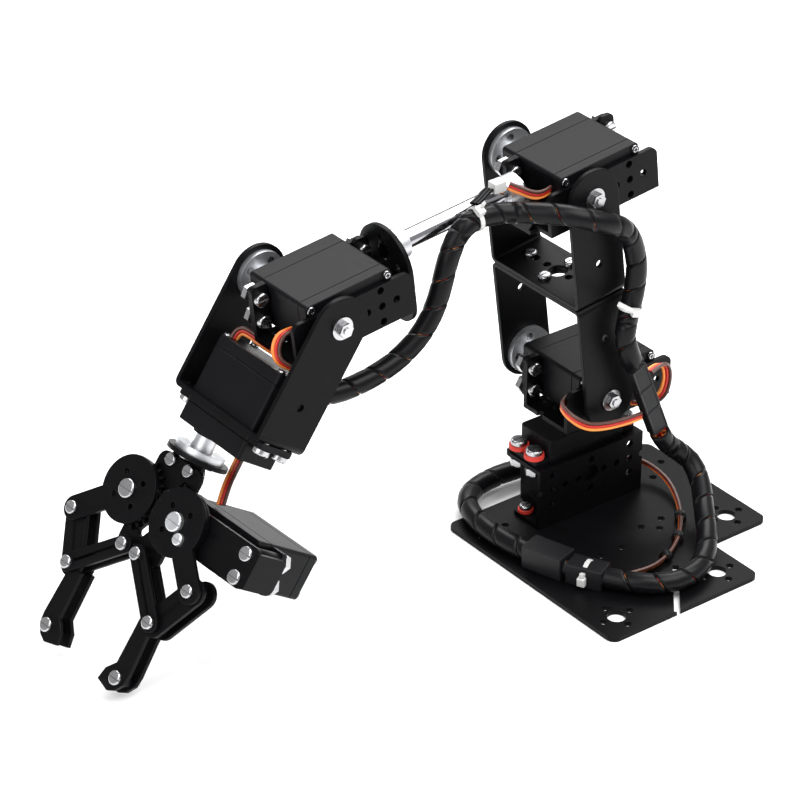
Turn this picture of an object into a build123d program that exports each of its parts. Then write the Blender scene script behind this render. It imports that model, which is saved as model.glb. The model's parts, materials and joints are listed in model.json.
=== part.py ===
from build123d import *
import os
from math import atan2, cos, degrees, pi, radians, sin, sqrt, tan

# A desktop servo arm: a flat base plate, a turret that turns on it, an upper arm of two
# U brackets, a forearm of two servo brackets joined by a tube, a wrist yoke and a geared claw.
# Millimetres. +Z is up, +X is the way the arm reaches, and the origin is on the turret's
# axis at the underside of the base plate. Every arm hinge runs along Y.

os.makedirs("parts", exist_ok=True)

# ---- driving dimensions ----------------------------------------------------------------
SHEET = 2.0            # folded aluminium sheet
PIVOT_GAP = 0.05       # running clearance round a pivot screw

CASE_L = 40.7          # servo case
CASE_W = 19.7
CASE_H = 37.0
SHAFT_INSET = 10.2     # output shaft to the near end of the case
SEAM_LOW = 5.0         # bottom cover to body
SEAM_TOP = 29.0        # body to gear cover
EDGE_BREAK = 0.3       # along the case's edges and seams
WALL = 1.8             # plastic wall
TAB_T = 2.5            # mounting tab
TAB_REACH = 6.9        # tab beyond the case
TAB_HOLE_OUT = 4.4     # tab hole beyond the case
TAB_HOLE_W = 5.0       # tab hole either side of the centre line
BOSS_R = 6.5
BOSS_H = 1.5
SHAFT_R = 2.95
SHAFT_TOP = 42.9
HORN_R = 10.4
HORN_T = 2.5
HORN_PITCH_R = 7.0     # horn bolt circle radius
HORN_FACE = 46.5       # servo bottom to the horn's outer face
YAW_HORN_FACE = 43.5   # the turret's horn is a low one

M3_R = 1.5
M3_HEAD_R = 2.75
M4_HEAD_R = 3.6
NUT_AF = 5.5

PLATE_OFFSET = 11.35   # servo centre line to the inside of a bracket's wide plate
WALL_OUT = 5.6         # back wall beyond the centre line, away from the wide plate
EAR_OUT = 10.6         # ear beyond the centre line
EAR_END = 7.8          # ear beyond the case
PAD_L = 10.2           # horn pattern on the wide plate, along it
PAD_A = 15.7           # and up from the servo's bottom

LINK_W = 56.6          # U bracket, outside
LINK_DEPTH = 25.0
LINK_LEN = 48.8        # hinge axis to the outside of a U bracket's base
YOKE_LEN = 52.6
BEARING_R = 4.0
AXLE_R = 1.5

TURRET_FACE = SHEET + SHEET + YAW_HORN_FACE    # height of the turret horn's face
ARM_Y = PAD_A - HORN_FACE + LINK_W / 2 - SHEET  # arm's middle plane
SHOULDER = (PAD_L, ARM_Y, TURRET_FACE + SHEET + PLATE_OFFSET)
LEAN = 7.3             # upper arm leans forward, degrees
FOREARM_DIP = 6.5      # forearm below level
WRIST_X = 125.6        # wrist axis in the forearm's frame
WRIST_Z = -2.5
YOKE_DIP = 55.0        # yoke below level
ROLL_OFFSET = SHAFT_INSET - CASE_L / 2   # claw's roll axis, off the middle plane
CLAW_ROLL = -6.2       # claw's turn about it at rest, degrees

GEAR_X = 14.7          # claw gears either side of the roll axis
GEAR_S = 97.5          # and down from the wrist axis
LINK_R = 28.8          # drive arms and rockers, pivot to pivot
DRIVE_ANGLE = 48.0     # drive arms out from the roll axis at rest
ROCKER_X = 4.3
ROCKER_S = 116.7
CLAW_PLATE_Z = 6.5     # front of the claw's frame plate, ahead of the roll axis


# ---- helpers ---------------------------------------------------------------------------
def block(x0, x1, y0, y1, z0, z1):
    return Pos((x0 + x1) / 2, (y0 + y1) / 2, (z0 + z1) / 2) * Box(x1 - x0, y1 - y0, z1 - z0)


def rod(r, z0, z1, x=0.0, y=0.0):
    return Pos(x, y, (z0 + z1) / 2) * Cylinder(r, z1 - z0)


def hexagon(z0, z1, x=0.0, y=0.0, af=NUT_AF):
    return Pos(x, y, z0) * extrude(RegularPolygon(af / sqrt(3), 6), z1 - z0)


def ring(r_out, r_in, z0, z1, x=0.0, y=0.0):
    return rod(r_out, z0, z1, x, y) - rod(r_in, z0 - 1, z1 + 1, x, y)


def rounded_plate(x0, x1, y0, y1, z0, z1, r):
    plate = block(x0, x1, y0, y1, z0, z1)
    return fillet(plate.edges().filter_by(Axis.Z), r)


def horn_pattern(z0, z1, x=0.0, y=0.0, centre_r=4.0):
    """A centre hole and four small holes, the pattern that takes a servo horn."""
    holes = [rod(centre_r, z0, z1, x, y)]
    for turn in range(4):
        holes.append(rod(M3_R + 0.1, z0, z1, x + HORN_PITCH_R * cos(turn * pi / 2),
                         y + HORN_PITCH_R * sin(turn * pi / 2)))
    return holes


def cut(body, tools):
    for tool in tools:
        body = body - tool
    return body


def pan_screw(head_z, tip_z, x, y, r=M3_R, head_r=M3_HEAD_R, head_h=1.9):
    """A screw along Z: its head sits on head_z and its shank runs to tip_z."""
    out = 1 if head_z > tip_z else -1
    head = rod(head_r, min(head_z, head_z + out * head_h), max(head_z, head_z + out * head_h), x, y)
    head = fillet(head.faces().sort_by(Axis.Z)[-1 if out > 0 else 0].edges(), 0.8)
    slot = block(x - head_r, x + head_r, y - 0.35, y + 0.35,
                 min(head_z + out * (head_h - 0.7), head_z + out * (head_h + 1)),
                 max(head_z + out * (head_h - 0.7), head_z + out * (head_h + 1)))
    return head - slot + rod(r, min(head_z, tip_z), max(head_z, tip_z), x, y)


def tube_along(points, radius):
    """A round bundle or lead on straight runs joined by tangent arcs."""
    radii = []
    for before, here, after in zip(points, points[1:], points[2:]):
        run_in = Vector(*here) - Vector(*before)
        run_out = Vector(*after) - Vector(*here)
        half_turn = radians(run_in.get_angle(run_out)) / 2
        radii.append(0.45 * min(run_in.length, run_out.length) / tan(half_turn))
    path = FilletPolyline(*points, radius=radii)
    start = Plane(origin=path @ 0, z_dir=path % 0)
    return sweep(start * Circle(radius), path=path)


def group(solids):
    """Several separate solids that share one node."""
    found = []
    for item in solids:
        found.extend(item.solids())
    return Compound(children=found)


NODES = {}


def add(name, where, *shapes):
    NODES.setdefault(name, []).extend(where * shape for shape in shapes)


# ---- servo, in its own frame: X along the case, Y across it, Z along the output shaft ----
CASE_X0 = -SHAFT_INSET
CASE_X1 = CASE_L - SHAFT_INSET
SCREW_XY = [(x, y) for x in (CASE_X0 + 2.3, CASE_X1 - 2.3) for y in (-CASE_W / 2 + 2.3, CASE_W / 2 - 2.3)]
TAB_HOLES = [(x, y) for x in (CASE_X0 - TAB_HOLE_OUT, CASE_X1 + TAB_HOLE_OUT)
             for y in (-TAB_HOLE_W, TAB_HOLE_W)]
TAB_Z = SEAM_TOP - TAB_T


def case_block(z0, z1, inset=0.0):
    return rounded_plate(CASE_X0 + inset, CASE_X1 - inset, -CASE_W / 2 + inset, CASE_W / 2 - inset,
                         z0, z1, 1.6 - inset / 2)


def case_section(z0, z1):
    """One section of the case, with broken edges that show as a seam where two sections meet."""
    section = case_block(z0, z1)
    ends = section.faces().filter_by(Axis.Z)
    return chamfer(ends.edges(), EDGE_BREAK)


def case_hollow(z0, z1):
    hollow = case_block(z0, z1, WALL)
    return cut(hollow, [rod(2.4, z0 - 1, z1 + 1, x, y) for x, y in SCREW_XY])


def servo_case(proud_rows):
    """Bottom cover, body with its tabs, gear cover with the boss, and the screws that join them.

    Screw heads stand out of the bottom cover in the proud rows and lie sunk in it in the others."""
    proud = [(x, y) for x, y in SCREW_XY if (y > 0) in proud_rows]
    sunk = [spot for spot in SCREW_XY if spot not in proud]
    bottom = case_section(0, SEAM_LOW) - case_hollow(WALL, SEAM_LOW + 1)
    bottom = cut(bottom, [rod(2.0, -1, 1.6, x, y) for x, y in sunk])
    body = case_section(SEAM_LOW, SEAM_TOP)
    body = body + rounded_plate(CASE_X0 - TAB_REACH, CASE_X1 + TAB_REACH, -9.2, 9.2, TAB_Z, SEAM_TOP, 1.5)
    body = body - case_hollow(SEAM_LOW - 1, SEAM_TOP + 1)
    body = cut(body, [rod(2.1, TAB_Z - 1, SEAM_TOP + 1, x, y) for x, y in TAB_HOLES])
    cover = case_section(SEAM_TOP, CASE_H) + rod(BOSS_R, CASE_H, CASE_H + BOSS_H)
    cover = cover - case_hollow(SEAM_TOP - 1, CASE_H - WALL)
    cover = cover - rod(SHAFT_R + 0.05, SEAM_TOP, CASE_H + BOSS_H + 1)
    holes = [rod(1.0, -1, CASE_H - WALL, x, y) for x, y in SCREW_XY]
    shank_top = CASE_H - WALL - 1
    screws = [rod(1.8, 0.2, 1.6, x, y) + rod(0.95, 1.6, shank_top, x, y) for x, y in sunk]
    screws += [rod(1.7, -1.1, 0, x, y) + rod(0.95, 0, shank_top, x, y) for x, y in proud]
    return [cut(bottom, holes), cut(body, holes), cut(cover, holes)], screws


def servo_internals():
    """Circuit board, position sensor, motor and the first gears of the train."""
    motor_x = 19.5
    idler_x = 12.8
    board = block(-4.5, 24.5, -7, 7, 2.4, 3.6)
    sensor = rod(5.0, 4.0, 10.0) + rod(1.5, 10.0, SEAM_TOP - 0.3)
    motor = rod(7.6, 4.0, 26.5, motor_x) + rod(1.8, 26.5, 33.4, motor_x)
    idler = rod(4.9, 29.4, 31.2, idler_x) + rod(4.6, 31.5, 33.3, idler_x)
    return [board, sensor, motor, idler]


def servo_output(face, turn=0.0, screw_seat=None):
    """Output shaft with its last gear, horn disc with its hub, and the horn's centre screw."""
    shaft_top = min(SHAFT_TOP, face - 1.2)
    shaft = rod(SHAFT_R, 29.4, shaft_top) + rod(7.4, 29.4, 31.2)
    hub_z = CASE_H + BOSS_H + 0.2
    horn = rod(HORN_R, face - HORN_T, face) + rod(4.6, hub_z, face - HORN_T)
    horn = horn - rod(SHAFT_R, hub_z - 1, shaft_top) - rod(M3_R, shaft_top - 1, face + 1)
    pattern = horn_pattern(face - HORN_T - 1, face + 1)[1:]
    horn = cut(horn, [Rot(0, 0, turn) * hole for hole in pattern])
    if screw_seat is None:
        screw = pan_screw(face, shaft_top, 0, 0, head_r=2.6, head_h=1.6)
    else:
        screw = pan_screw(screw_seat, shaft_top, 0, 0, head_r=4.0, head_h=2.2)
    return [shaft, horn, screw]


def horn_bolts(head, tip, centre=(0.0, 0.0), head_h=1.3):
    bolts = []
    for turn in range(4):
        bolts.append(pan_screw(head, tip, centre[0] + HORN_PITCH_R * cos(turn * pi / 2),
                               centre[1] + HORN_PITCH_R * sin(turn * pi / 2), r=1.45, head_r=2.4,
                               head_h=head_h))
    return bolts


def servo_bracket(axle=True):
    """Wide plate beside the case, back wall under it, two ears that carry the tabs."""
    x0 = CASE_X0 - EAR_END
    x1 = CASE_X1 + EAR_END
    ear_z = TAB_Z - SHEET
    plate_y = PLATE_OFFSET
    wide = block(x0, x1, plate_y, plate_y + SHEET, -SHEET, TAB_Z)
    wide = fillet(wide.edges().filter_by(Axis.Y), 2.5)
    back = block(x0, x1, -WALL_OUT, plate_y + SHEET, -SHEET, 0)
    back = fillet(back.edges().filter_by(Axis.Z).group_by(Axis.Y)[0], 3.5)
    bracket = wide + back
    for ex0, ex1 in ((x0, CASE_X0 - 0.5), (CASE_X1 + 0.5, x1)):
        ear = block(ex0, ex1, -EAR_OUT, plate_y + SHEET, ear_z, TAB_Z)
        bracket = bracket + fillet(ear.edges().filter_by(Axis.Z).group_by(Axis.Y)[0], 2.5)
    for x, y in TAB_HOLES:
        bracket = bracket - rod(2.0, ear_z - 1, TAB_Z + 1, x, y)
    turned = Plane(origin=(0, 0, 0), x_dir=(1, 0, 0), z_dir=(0, 1, 0)).location
    for pad_x in (PAD_L, PAD_L + 21.0, PAD_L - 21.0):
        centre_r = 4.0 if pad_x == PAD_L else 1.6
        bracket = cut(bracket, [turned * hole for hole in
                                horn_pattern(plate_y - 1, plate_y + SHEET + 1, pad_x, -PAD_A, centre_r)])
    if axle:
        bracket = bracket - rod(AXLE_R, -SHEET - 1, 1)
        bracket = cut(bracket, horn_pattern(-SHEET - 1, 1, 23.5, 3.8, 1.6))
        bracket = cut(bracket, [rod(1.6, -SHEET - 1, 1, 7.0, y) for y in (-3.5, 6.5)])
    else:
        bracket = cut(bracket, [rod(1.6, -SHEET - 1, 1, x, 0) for x in (CASE_X0 - 4.2, CASE_X1 + 4.2)])
    return bracket


def stub_axle():
    """Threaded stub in the back wall with a jam nut inside the leg and a nut outside it."""
    return [rod(AXLE_R, -12.0, 0.0),
            hexagon(-5.4, -SHEET) - rod(AXLE_R, -6, 0),
            hexagon(-11.4, -9.0) - rod(AXLE_R, -12, 0)]


def leg_bearing():
    """Flanged bearing pressed into the leg that faces a back wall."""
    leg_out = HORN_FACE - LINK_W + SHEET
    leg_in = leg_out + SHEET
    body = rod(BEARING_R, leg_out, leg_in + 0.5) + rod(4.7, leg_out - 0.8, leg_out)
    return body - rod(AXLE_R + 0.05, leg_out - 2, leg_in + 2)


def tab_fasteners(heads_on_tab, washers=False, nuts=True):
    """A screw and nut in each tab hole; washers sit under the heads, and without nuts the plate is tapped."""
    low = TAB_Z - SHEET
    found = []
    for x, y in TAB_HOLES:
        seat = SEAM_TOP + (1.8 if washers else 0.0)
        if not nuts:
            found.append(pan_screw(seat, low, x, y, r=1.9, head_r=M4_HEAD_R, head_h=2.4))
        elif heads_on_tab:
            found.append(pan_screw(seat, low - 4.5, x, y, r=1.9, head_r=M4_HEAD_R, head_h=2.4))
            found.append(hexagon(low - 3.0, low, x, y, 7.0) - rod(1.9, low - 4, low + 1, x, y))
        else:
            found.append(pan_screw(low, SEAM_TOP + 3.5, x, y, r=1.9, head_r=3.0, head_h=2.4))
            found.append(hexagon(SEAM_TOP, SEAM_TOP + 2.6, x, y, 7.0) - rod(1.9, SEAM_TOP - 1, 40, x, y))
    return found


# ---- U brackets, in the hinge's frame: the hinge along Y, the base below it -------------
def u_bracket(length, servo_window=False):
    half = LINK_W / 2
    r = LINK_DEPTH / 2
    outer = block(-r, r, -half, half, -length, 0)
    outer = fillet(outer.edges().filter_by(Axis.X).group_by(Axis.Z)[0], 3.0)
    inner = block(-r - 1, r + 1, -half + SHEET, half - SHEET, -length + SHEET, 1)
    inner = fillet(inner.edges().filter_by(Axis.X).group_by(Axis.Z)[0], 1.0)
    turn = Rot(90, 0, 0)
    ends = [turn * rod(r, -half, -half + SHEET), turn * rod(r, half - SHEET, half)]
    bracket = outer - inner + ends[0] + ends[1]
    bracket = bracket - turn * rod(BEARING_R, -half - 1, -half + SHEET + 1)
    bracket = cut(bracket, [turn * hole for hole in
                            horn_pattern(half - SHEET - 1, half + 1, 0, 0, 3.2)])
    for y0, y1 in ((half - SHEET - 1, half + 1), (-half - 1, -half + SHEET + 1)):
        bracket = bracket - turn * rod(1.6, y0, y1, 0, -length + 18.0)
    if servo_window:
        y0 = ROLL_OFFSET - SHAFT_INSET - 0.3
        bracket = bracket - block(-CASE_W / 2 - 0.3, CASE_W / 2 + 0.3, y0, y0 + CASE_L + 0.6,
                                  -length - 1, -length + SHEET + 1)
        for x, y in TAB_HOLES:
            bracket = bracket - rod(2.0, -length - 1, -length + SHEET + 1, y, ROLL_OFFSET + x)
        return bracket
    bracket = cut(bracket, horn_pattern(-length - 1, -length + SHEET + 1))
    for y in (-17.5, 17.5):
        slot = SlotCenterToCenter(7.0, 3.2, rotation=90)
        bracket = bracket - Pos(0, y, -length - 1) * extrude(slot, SHEET + 2)
    return bracket


# ---- frames at rest ---------------------------------------------------------------------
def servo_place(origin, length_dir, shaft_dir, drop=0.0):
    frame = Plane(origin=origin, x_dir=length_dir, z_dir=shaft_dir)
    return frame.location * Pos(0, 0, -drop)


SIDE_DROP = HORN_FACE - LINK_W / 2 + SHEET     # servo bottom to the arm's middle plane
YOKE_TURN = FOREARM_DIP + 90 - YOKE_DIP         # yoke against the forearm, in the wrist servo's frame

upper_arm = Pos(*SHOULDER) * Rot(0, LEAN, 0)
ELBOW = (upper_arm * Pos(0, 0, 2 * LINK_LEN)).position
forearm = Pos(*ELBOW) * Rot(0, FOREARM_DIP, 0)
WRIST = (forearm * Pos(WRIST_X, 0, WRIST_Z)).position
yoke = Pos(*WRIST) * Rot(0, YOKE_DIP - 90, 0)
claw_axis = yoke * Pos(0, ROLL_OFFSET, 0)
claw = claw_axis * Rot(0, 0, -CLAW_ROLL) * Plane(origin=(0, 0, 0), x_dir=(0, 1, 0), z_dir=(1, 0, 0)).location

yaw_servo = Pos(0, 0, 2 * SHEET)
shoulder_servo = servo_place(SHOULDER, (-1, 0, 0), (0, -1, 0), SIDE_DROP)
elbow_servo = forearm * servo_place((0, 0, 0), (-1, 0, 0), (0, -1, 0), SIDE_DROP)
wrist_servo = forearm * servo_place((WRIST_X, 0, WRIST_Z), (-1, 0, 0), (0, -1, 0), SIDE_DROP)
roll_servo = yoke * servo_place((0, ROLL_OFFSET, -YOKE_LEN), (0, 1, 0), (0, 0, -1), TAB_Z)


# ---- base -------------------------------------------------------------------------------
PAD_IN = 12.3          # horn pads in from the base plate's edges
BASE_X0, BASE_X1 = -45.0, 66.0
BASE_Y0, BASE_Y1 = -14.0, 94.0
STEP_X, STEP_Y = -13.0, 64.0
BASE_PADS = [(BASE_X1 - PAD_IN, BASE_Y0 + PAD_IN + 3), (BASE_X1 - PAD_IN, BASE_Y1 - PAD_IN),
             (STEP_X + PAD_IN, BASE_Y1 - PAD_IN), (BASE_X0 + PAD_IN, STEP_Y - PAD_IN)]


def base_plate():
    outline = Polygon((BASE_X0, BASE_Y0), (BASE_X1, BASE_Y0), (BASE_X1, BASE_Y1), (STEP_X, BASE_Y1),
                      (STEP_X, STEP_Y), (BASE_X0, STEP_Y), align=None)
    plate = extrude(outline, SHEET)
    corners = [edge for edge in plate.edges().filter_by(Axis.Z)
               if (edge.center().X, edge.center().Y) != (STEP_X, STEP_Y)]
    plate = fillet(corners, 4.0)
    slit = Pos(21, 81, 0) * Rot(0, 0, 50) * block(-17, 17, -1.25, 1.25, -1, SHEET + 1)
    plate = plate - slit
    for x, y in BASE_PADS:
        plate = cut(plate, horn_pattern(-1, SHEET + 1, x, y))
    for x, y in ((-28, 10), (-39, 2.5), (-9, 37), (2, 37), (-3.5, 42.5), (19, 44), (30, 44)):
        plate = plate - rod(1.6, -1, SHEET + 1, x, y)
    for x in (CASE_X0 - 4.2, CASE_X1 + 4.2):
        plate = plate - rod(1.5, -1, SHEET + 1, x, 0)
    return plate


def red_washers():
    rings = [ring(4.3, 2.1, SEAM_TOP, SEAM_TOP + 1.8, x, y) for x, y in TAB_HOLES]
    rings += [ring(3.4, 1.6, 0, 1.2, x, 0) for x in (CASE_X0 - 4.2, CASE_X1 + 4.2)]
    return rings


def make_servo(name, where, output_name, face=HORN_FACE, turn=0.0, screw_seat=None, proud_rows=(False,)):
    case, screws = servo_case(proud_rows)
    add(name + "_servo_case", where, *case)
    add(name + "_servo_case", where, *screws)
    add(name + "_servo_drive", where, *servo_internals())
    add(output_name, where, *servo_output(face, turn, screw_seat))


add("base_plate", Pos(0, 0, 0), base_plate())
add("yaw_bracket", yaw_servo, servo_bracket(axle=False))
make_servo("yaw", yaw_servo, "yaw_horn", YAW_HORN_FACE)
add("red_washers", yaw_servo, *red_washers())
add("base_screws", yaw_servo, *tab_fasteners(True, True),
    *[pan_screw(1.2, -SHEET - SHEET + 0.1, x, 0, r=1.45) for x in (CASE_X0 - 4.2, CASE_X1 + 4.2)])

# ---- turret -----------------------------------------------------------------------------
add("shoulder_bracket", shoulder_servo, servo_bracket())
make_servo("shoulder", shoulder_servo, "shoulder_horn", turn=-LEAN)
add("turret_screws", shoulder_servo, *tab_fasteners(False))
add("turret_screws", Pos(0, 0, TURRET_FACE), *horn_bolts(SHEET, -HORN_T))
add("shoulder_axle", shoulder_servo, *stub_axle())

# ---- upper arm --------------------------------------------------------------------------
lower_link = upper_arm * Rot(180, 0, 180)
upper_link = upper_arm * Pos(0, 0, 2 * LINK_LEN)
add("lower_link", lower_link, u_bracket(LINK_LEN))
add("upper_link", upper_link, u_bracket(LINK_LEN))


def link_bolts():
    """Four screws and nuts that hold the two U brackets base to base."""
    found = []
    for x, y in ((7.0, 0.0), (-7.0, 0.0), (0.0, -17.5), (0.0, 17.5)):
        found.append(pan_screw(SHEET, -SHEET - 3.2, x, y, r=1.45))
        found.append(hexagon(-SHEET - 2.4, -SHEET, x, y) - rod(1.45, -8, 0, x, y))
    return found


add("link_screws", upper_arm * Pos(0, 0, LINK_LEN), *link_bolts())
for servo in (shoulder_servo, elbow_servo):
    leg_turn = LEAN if servo is shoulder_servo else LEAN - FOREARM_DIP
    add("link_screws", servo, *[Rot(0, 0, -leg_turn) * bolt
                                for bolt in horn_bolts(HORN_FACE + SHEET, HORN_FACE - HORN_T)])
    add("link_bearings", servo, leg_bearing())

# ---- forearm ----------------------------------------------------------------------------
TUBE_R = 4.0
TUBE_Y, TUBE_Z = 4.0, 4.0
ELBOW_FLANGE_X = 18.4
WRIST_FLANGE_X = 84.4


def flange(x, r, z_low, z_mid, tab_x, tab_z):
    """Round-topped plate across the tube, its foot bent under a bracket's wide plate."""
    face = Plane(origin=(x, TUBE_Y - 0.5, 0), x_dir=(0, 1, 0), z_dir=(1, 0, 0))
    disc = Pos(0, z_mid) * Circle(r) + Pos(0, z_low + (z_mid - z_low) / 2) * Rectangle(2 * r, z_mid - z_low)
    plate = extrude(face * disc, SHEET)
    plate = fillet(plate.edges().filter_by(Axis.X).group_by(Axis.Z)[0], min(r - 0.5, 9.0))
    foot = block(min(x, tab_x), max(x + SHEET, tab_x), TUBE_Y - 8.5, TUBE_Y + 7.5, tab_z - SHEET, tab_z)
    plate = plate + foot
    turned = Pos(x, TUBE_Y, TUBE_Z) * Rot(0, 90, 0)
    return plate - turned * rod(TUBE_R, -1, SHEET + 1)


plate_low = -PLATE_OFFSET - SHEET
elbow_flange = flange(ELBOW_FLANGE_X, 10.0, plate_low - SHEET, -3.0, 0.0, plate_low)
wrist_flange = flange(WRIST_FLANGE_X, 16.5, -25.0, -2.0, 106.0, plate_low + WRIST_Z)
wrist_flange = cut(wrist_flange, [Pos(WRIST_FLANGE_X, 2.5 + 9.5 * cos(a), -0.5 + 9.5 * sin(a)) * Rot(0, 90, 0)
                                  * rod(1.6, -1, SHEET + 1) for a in (0, pi / 2, pi, -pi / 2)])
along_x = Rot(0, 90, 0)
tube_place = forearm * Pos(0, TUBE_Y, TUBE_Z) * along_x

add("elbow_bracket", elbow_servo, servo_bracket())
make_servo("elbow", elbow_servo, "elbow_horn", turn=FOREARM_DIP - LEAN)
add("forearm_axles", elbow_servo, *stub_axle())
add("wrist_bracket", wrist_servo, servo_bracket())
make_servo("wrist", wrist_servo, "wrist_horn", turn=YOKE_TURN)
add("forearm_axles", wrist_servo, *stub_axle())
add("forearm_screws", elbow_servo, *tab_fasteners(False))
add("forearm_screws", wrist_servo, *tab_fasteners(False))
add("elbow_flange", forearm, elbow_flange)
add("wrist_flange", forearm, wrist_flange)
add("forearm_tube", tube_place, ring(TUBE_R, TUBE_R - 1.0, ELBOW_FLANGE_X, WRIST_FLANGE_X + SHEET))
add("tube_hubs", tube_place,
    ring(6.5, TUBE_R, ELBOW_FLANGE_X + SHEET, ELBOW_FLANGE_X + SHEET + 7),
    ring(6.5, TUBE_R, WRIST_FLANGE_X - 7, WRIST_FLANGE_X))
FOOT_SCREWS = [(5.0, -1.5, 0.0), (5.0, 8.5, 0.0), (100.0, -1.5, WRIST_Z), (100.0, 8.5, WRIST_Z)]
foot_screws = [Pos(x, y, plate_low + z) * pan_screw(-SHEET, SHEET + 0.9, 0, 0, r=1.45)
               for x, y, z in FOOT_SCREWS]
for spot, screw in zip(FOOT_SCREWS, foot_screws):
    hole = Pos(spot[0], spot[1], plate_low + spot[2]) * rod(1.45, -SHEET - 1, SHEET + 1)
    name = "elbow" if spot[0] < 50 else "wrist"
    NODES[name + "_flange"] = [item - forearm * hole for item in NODES[name + "_flange"]]
    NODES[name + "_bracket"] = [item - forearm * hole for item in NODES[name + "_bracket"]]
add("forearm_screws", forearm, *foot_screws)

# ---- wrist yoke -------------------------------------------------------------------------
add("wrist_yoke", yoke, u_bracket(YOKE_LEN, servo_window=True))
make_servo("roll", roll_servo, "roll_horn", turn=CLAW_ROLL, proud_rows=(False, True))
add("wrist_bearing", wrist_servo, leg_bearing())
add("yoke_screws", wrist_servo, *[Rot(0, 0, YOKE_TURN) * bolt
                                  for bolt in horn_bolts(HORN_FACE + SHEET, HORN_FACE - HORN_T)])
add("yoke_screws", roll_servo, *tab_fasteners(True, nuts=False))

# ---- claw, in its own frame: X across, Y back up the roll axis, Z out of its front face ---
FRAME_Z0 = CLAW_PLATE_Z - SHEET
GEAR_Z0 = CLAW_PLATE_Z + 0.3
GEAR_Z1 = GEAR_Z0 + 2.3
ARM_Z1 = GEAR_Z1 + SHEET
FINGER_FRONT = (GEAR_Z0 + 0.1, GEAR_Z1 - 0.2)
FINGER_REAR = (0.2, 2.2)
REAR_ROCKER = (2.4, 4.3)
TOOTH_COUNT = 28       # all the way round
TEETH_EACH_SIDE = 5    # of the line between the two gears
DISC_R = 13.9          # front disc over each gear
DISC_HOLE_R = 7.3
MOUNT_S = YOKE_LEN + HORN_FACE - TAB_Z        # the roll horn's face, down from the wrist
SPACER_R = 2.2
WING_X1 = 55.4         # end of the wing that carries the claw servo
TAB_FACE = GEAR_Z0 - HORN_FACE + SEAM_TOP      # front of the claw servo's tabs


def claw_mount():
    """Round plate on the roll horn with a flange folded down behind the frame plate."""
    face = Pos(0, -MOUNT_S, 0) * Rot(90, 0, 0)
    fold = block(-8.5, 8.5, -MOUNT_S - 16, -MOUNT_S, FRAME_Z0 - SHEET, FRAME_Z0)
    mount = face * rod(13.0, 0, SHEET) + fold
    mount = cut(mount, [face * hole for hole in horn_pattern(-1, SHEET + 0.01, centre_r=3.2)])
    return cut(mount, [rod(1.45, -5, 10, x, -MOUNT_S - 6.5) for x in (-5.3, 5.3)])


def claw_frame():
    """Front plate: a stem with the pivots and a wing that carries the claw servo."""
    stem = rounded_plate(-12.5, 12.5, -GEAR_S - 21.5, -MOUNT_S - 4.2, FRAME_Z0, CLAW_PLATE_Z, 4.0)
    wing = rounded_plate(0, WING_X1, -GEAR_S - 8.6, -GEAR_S + 9.0, FRAME_Z0, CLAW_PLATE_Z, 4.0)
    end_wall = block(WING_X1 - SHEET, WING_X1, -GEAR_S - 7.5, -GEAR_S + 7.5, TAB_FACE, CLAW_PLATE_Z)
    wing = wing + fillet(end_wall.edges().filter_by(Axis.X).group_by(Axis.Z)[0], 2.5)
    left = rounded_plate(-21, 0, -GEAR_S - 6.0, -GEAR_S + 6.0, FRAME_Z0, CLAW_PLATE_Z, 4.0)
    plate = stem + wing + left
    holes = [rod(HORN_R + 0.3, -5, 20, GEAR_X, -GEAR_S), rod(M3_R, -5, 20, -GEAR_X, -GEAR_S)]
    holes += [rod(M3_R, -5, 20, side * ROCKER_X, -ROCKER_S) for side in (-1, 1)]
    holes += [rod(1.45, -5, 20, x, -MOUNT_S - 6.5) for x in (-5.3, 5.3)]
    holes += [rod(1.9, -5, 20, GEAR_X + x, -GEAR_S + y) for x, y in TAB_HOLES]
    holes += [rod(3.1, CLAW_PLATE_Z - 1.4, 20, GEAR_X + x, -GEAR_S + y) for x, y in TAB_HOLES if x < 0]
    holes.append(Pos(-1.5, -GEAR_S - 10.5, -5) * extrude(SlotCenterToCenter(3.5, 3.6, rotation=60), 20))
    holes.append(rod(1.8, -5, 20, 6.5, -MOUNT_S - 12.5))
    return cut(plate, holes)


def gear():
    """Disc with gear teeth on the side that faces its twin, narrow enough to run free of it."""
    module = 2 * GEAR_X / TOOTH_COUNT
    root = GEAR_X - 1.15 * module
    tip = GEAR_X + 0.85 * module
    pitch = 2 * pi / TOOTH_COUNT
    outline = Circle(root)
    for tooth in range(-TEETH_EACH_SIDE, TEETH_EACH_SIDE + 1):
        middle = pi + tooth * pitch
        corners = [(root - 0.5, -0.27), (root, -0.27), (tip, -0.11), (tip, 0.11), (root, 0.27), (root - 0.5, 0.27)]
        points = [(r * cos(middle + share * pitch), r * sin(middle + share * pitch)) for r, share in corners]
        outline = outline + Polygon(*points, align=None)
    return extrude(outline, GEAR_Z1 - GEAR_Z0 - 0.1, dir=(0, 0, 1))


def bar(x0, y0, x1, y1, width, z0, z1):
    """A flat link with round ends."""
    length = sqrt((x1 - x0) ** 2 + (y1 - y0) ** 2)
    slot = SlotCenterToCenter(length, width)
    angle = degrees(atan2(y1 - y0, x1 - x0))
    return Pos((x0 + x1) / 2, (y0 + y1) / 2, z0) * Rot(0, 0, angle) * extrude(slot, z1 - z0)


def link_end(x, y, side, angle=DRIVE_ANGLE):
    return (x + side * LINK_R * sin(radians(angle)), y - LINK_R * cos(radians(angle)))


def disc_spot(side, turn):
    """A hole's place on the gear's disc, that many degrees round from the arm."""
    angle = radians(DRIVE_ANGLE + turn)
    return side * (GEAR_X + DISC_HOLE_R * sin(angle)), -GEAR_S - DISC_HOLE_R * cos(angle)


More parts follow.
